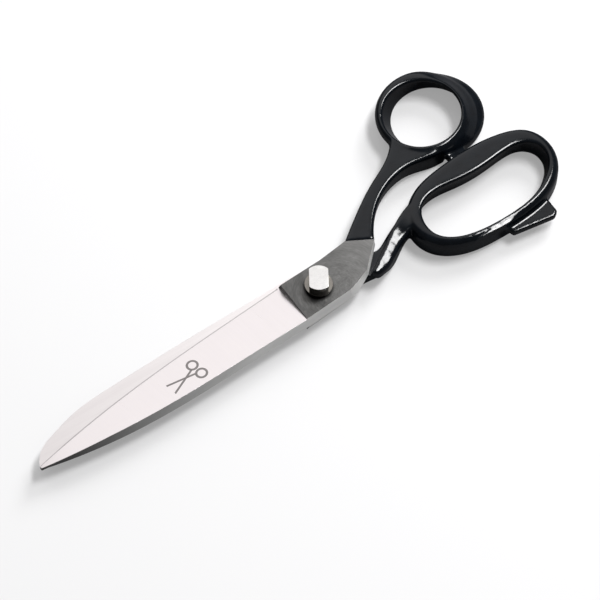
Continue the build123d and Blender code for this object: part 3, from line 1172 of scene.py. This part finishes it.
    def washer(self) -> bpy.types.Object:
        """Make the dished washer by spinning its section.

        Returns:
            The washer.
        """
        low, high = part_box("spring_washer")
        bore = self.shoulder_radius + self.washer_gap
        section = ((bore, high.z), (bore, high.z - self.washer_sheet),
                   (high.x, low.z), (high.x, low.z + self.washer_sheet))
        shape = bmesh.new()
        verts = [shape.verts.new((radius, 0, z)) for radius, z in section]
        edges = [shape.edges.new((verts[i], verts[(i + 1) % 4])) for i in range(4)]
        bmesh.ops.spin(shape, geom=verts + edges, cent=(0, 0, 0), axis=(0, 0, 1), angle=2 * math.pi,
                       steps=self.sides, use_merge=True, use_duplicate=False)
        return self.finish(shape, "spring_washer_sprung", self.spring, Slot.SPRING, "spring_washer")

    def nut(self) -> bpy.types.Object:
        """Make the lock nut with two flats and a rounded lower rim.

        Returns:
            The nut.
        """
        low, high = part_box("lock_nut")
        shape = self.drum(high.y, low.z, high.z)
        self.cut_flats(shape, self.nut_width, 0.0)
        self.round_rim(shape, low.z, self.nut_rounding, steps=3)
        return self.finish(shape, "lock_nut_plated", self.plate, Slot.PLATED, "lock_nut")


# ---------------------------------------------------------------- studio


@dataclass
class CameraRig:
    """The camera, looking down on the shears from the finger side."""

    azimuth: float = -37.3
    elevation: float = 60.0
    distance: float = 1.280
    aim_height: float = 12.2 * MM
    view_width: float = 0.2481  # width of the view at the pivot
    pivot_right: float = 7.73 * MM  # the pivot stands this far right of the view's middle
    pivot_up: float = 6.53 * MM
    sensor: float = 36.0
    nearest: float = 0.05
    farthest: float = 20.0

    def build(self) -> bpy.types.Object:
        """Make the camera and set it as the scene's.

        Returns:
            The camera.
        """
        turn, tilt = math.radians(self.azimuth), math.radians(self.elevation)
        forward = Vector((-math.sin(turn) * math.cos(tilt), math.cos(turn) * math.cos(tilt),
                          -math.sin(tilt)))
        right = Vector((math.cos(turn), math.sin(turn), 0))
        up = right.cross(forward)
        place = Vector((0, 0, self.aim_height)) - self.distance * forward
        place -= self.pivot_right * right + self.pivot_up * up
        data = bpy.data.cameras.new("camera")
        data.sensor_width = self.sensor
        data.lens = self.sensor * self.distance / self.view_width
        data.clip_start = self.nearest
        data.clip_end = self.farthest
        camera = bpy.data.objects.new("camera", data)
        camera.matrix_world = Matrix.Translation(place) @ Matrix((right, up, -forward)).transposed().to_4x4()
        bpy.context.scene.collection.objects.link(camera)
        bpy.context.scene.camera = camera
        return camera


@dataclass(frozen=True)
class Softbox:
    """One square lamp of the studio."""

    name: str
    azimuth: float  # degrees from X, where it stands
    elevation: float
    distance: float
    size: float
    power: float
    mirrored: bool = True  # whether it shows in reflections

    def build(self, target: Vector) -> bpy.types.Object:
        """Make the lamp, turned to a point.

        Args:
            target: the point it looks at.

        Returns:
            The lamp.
        """
        turn, tilt = math.radians(self.azimuth), math.radians(self.elevation)
        aim = Vector((math.cos(turn) * math.cos(tilt), math.sin(turn) * math.cos(tilt), math.sin(tilt)))
        facing = aim.to_track_quat("Z", "Y").to_matrix().to_4x4()
        data = bpy.data.lights.new(self.name, "AREA")
        data.shape = "SQUARE"
        data.size = self.size
        data.energy = self.power
        lamp = bpy.data.objects.new(self.name, data)
        lamp.matrix_world = Matrix.Translation(target + aim * self.distance) @ facing
        lamp.visible_glossy = self.mirrored
        bpy.context.scene.collection.objects.link(lamp)
        return lamp


@dataclass
class Studio:
    """A white floor under soft light from above, behind and the right."""

    floor_half: float = 3.0
    floor_glow: float = 0.30
    floor_seen: Colour = (0.45, 0.45, 0.454)  # the paper itself
    floor_mirrored: Colour = (0.12, 0.12, 0.124)  # and as the shears mirror it
    softboxes: tuple[Softbox, ...] = (
        Softbox("key_softbox", azimuth=20.0, elevation=30.0, distance=1.6, size=0.62, power=24.0,
                mirrored=False),
        Softbox("side_softbox", azimuth=4.0, elevation=59.0, distance=1.4, size=0.34, power=10.0),
        Softbox("top_softbox", azimuth=-17.0, elevation=65.0, distance=1.3, size=0.28, power=6.0),
    )
    sky_tint: Colour = (1.0, 0.985, 0.985)
    sky_low: float = 0.26
    sky_high: float = 1.24
    sky_start: float = 0.80  # cosines from its bright part over which the sky brightens
    sky_full: float = 0.94
    sky_least: float = 0.02
    dark_drop: float = 0.19  # how much darker the sky is in reflections
    sky_azimuth: float = 70.0  # the bright part of the sky is centred here
    sky_elevation: float = 38.0
    target: Vector = field(default_factory=lambda: Vector((-0.01, 0.01, 0.01)))

    def build(self) -> None:
        """Make the floor, the lamps, the sky and the view settings."""
        self.floor()
        for box in self.softboxes:
            box.build(self.target)
        world = bpy.data.worlds.new("studio_sky")
        bpy.context.scene.world = world
        world.use_nodes = True
        background = world.node_tree.nodes["Background"]
        background.inputs["Color"].default_value = (*self.sky_tint, 1.0)
        sheet = NodeSheet(world.node_tree)
        turn, tilt = math.radians(self.sky_azimuth), math.radians(self.sky_elevation)
        facing = sheet.add("ShaderNodeVectorMath", operation="DOT_PRODUCT")
        facing.inputs[1].default_value = (math.cos(turn) * math.cos(tilt), math.sin(turn) * math.cos(tilt),
                                          math.sin(tilt))
        sheet.fill(facing.inputs[0], sheet.add("ShaderNodeTexCoord").outputs["Generated"])
        glow = sheet.spread(facing.outputs["Value"], self.sky_low, self.sky_high, start=self.sky_start,
                            end=self.sky_full, kind="SMOOTHSTEP")
        mirrored = sheet.add("ShaderNodeLightPath").outputs["Is Glossy Ray"]
        dimmed = sheet.math("SUBTRACT", glow, sheet.math("MULTIPLY", mirrored, self.dark_drop))
        sheet.feed(background, Strength=sheet.math("MAXIMUM", dimmed, self.sky_least))
        view = bpy.context.scene.view_settings
        view.view_transform = "Standard"
        view.look = "None"

    def floor(self) -> None:
        """Make the plain white floor."""
        shape = bmesh.new()
        bmesh.ops.create_grid(shape, x_segments=4, y_segments=4, size=self.floor_half)
        floor = piece_from(shape, "studio_floor")
        material = bpy.data.materials.new("floor_paper")
        material.use_nodes = True
        paper = material.node_tree.nodes["Principled BSDF"]
        sheet = NodeSheet(material.node_tree)
        mirrored = sheet.add("ShaderNodeLightPath").outputs["Is Glossy Ray"]
        sheet.feed(paper, Base_Color=sheet.mix(mirrored, self.floor_seen, self.floor_mirrored),
                   Emission_Strength=sheet.spread(mirrored, self.floor_glow, 0.0),
                   Emission_Color=(1.0, 1.0, 1.0, 1.0), Roughness=1.0, Specular_IOR_Level=0.0)
        floor.data.materials.append(material)


def main() -> None:
    """Build the studio and every piece of the shears."""
    logging.basicConfig(level=logging.INFO, format="%(name)s %(message)s")
    effects = SharedEffects.build()
    grind = GrindFinish("blade_grind", dark=(0.85, 0.805, 0.81), bright=(0.91, 0.865, 0.87), smooth=0.26,
                        rough=0.32, turn=4.0)
    signed = replace(grind, name="blade_grind_signed", marked=True)
    ricasso = RicassoFinish("ricasso_matt", dark=(0.026, 0.026, 0.025), bright=(0.190, 0.188, 0.185))
    # the forged sides carry painted shade that darkens them towards the tip
    sides = GrindFinish("forged_side", dark=(0.60, 0.60, 0.59), bright=(0.80, 0.80, 0.79), smooth=0.34,
                        rough=0.46, turn=90.0, fine=1500.0, along=30.0, depth=0.000001, metal=0.45,
                        tip_shade=0.88)
    # the inner face carries the painted shadow of the gap under the front blade's edge
    inner = GrindFinish("inner_face", dark=(0.84, 0.80, 0.80), bright=(0.92, 0.88, 0.88), smooth=0.26,
                        rough=0.34, turn=85.0, gap_shadowed=True)
    finishes = (grind, signed, ricasso, sides, inner)
    plain, marked, matt, forged, flat = [finish.build(effects) for finish in finishes]
    lacquer = LacquerFinish().build(effects)
    # the plate is darkened as painted shade on the pivot's sides; the head's top is a lighter copy as
    # painted light
    nickel_shaded = PlatedFinish("pivot_nickel_shaded", dark=(0.24, 0.225, 0.205), bright=(0.36, 0.34, 0.31), smooth=0.14,
                          rough=0.24).build(effects)
    lit_top = PlatedFinish("pivot_top_lit", dark=(0.64, 0.63, 0.62), bright=(0.86, 0.85, 0.84), smooth=0.24,
                       rough=0.34).build(effects)
    # blackened spring steel, kept near black also as painted contact shadow under the flange
    spring = PlatedFinish("washer_steel_shade_dark", dark=(0.02, 0.02, 0.022), bright=(0.05, 0.05, 0.052), smooth=0.32,
                          rough=0.42).build(effects)
    CameraRig().build()
    Studio().build()
    Blade("thumb_blade", Body.THUMB, outward=1.0, faces=[marked, matt, forged, flat]).build()
    Blade("finger_blade", Body.FINGER, outward=-1.0, faces=[plain, matt, forged, flat]).build()
    ThumbBow(lacquer).build()
    FingerBow(lacquer).build()
    PivotStack(nickel_shaded, lit_top, spring).build()


if __name__ == "__main__":
    main()
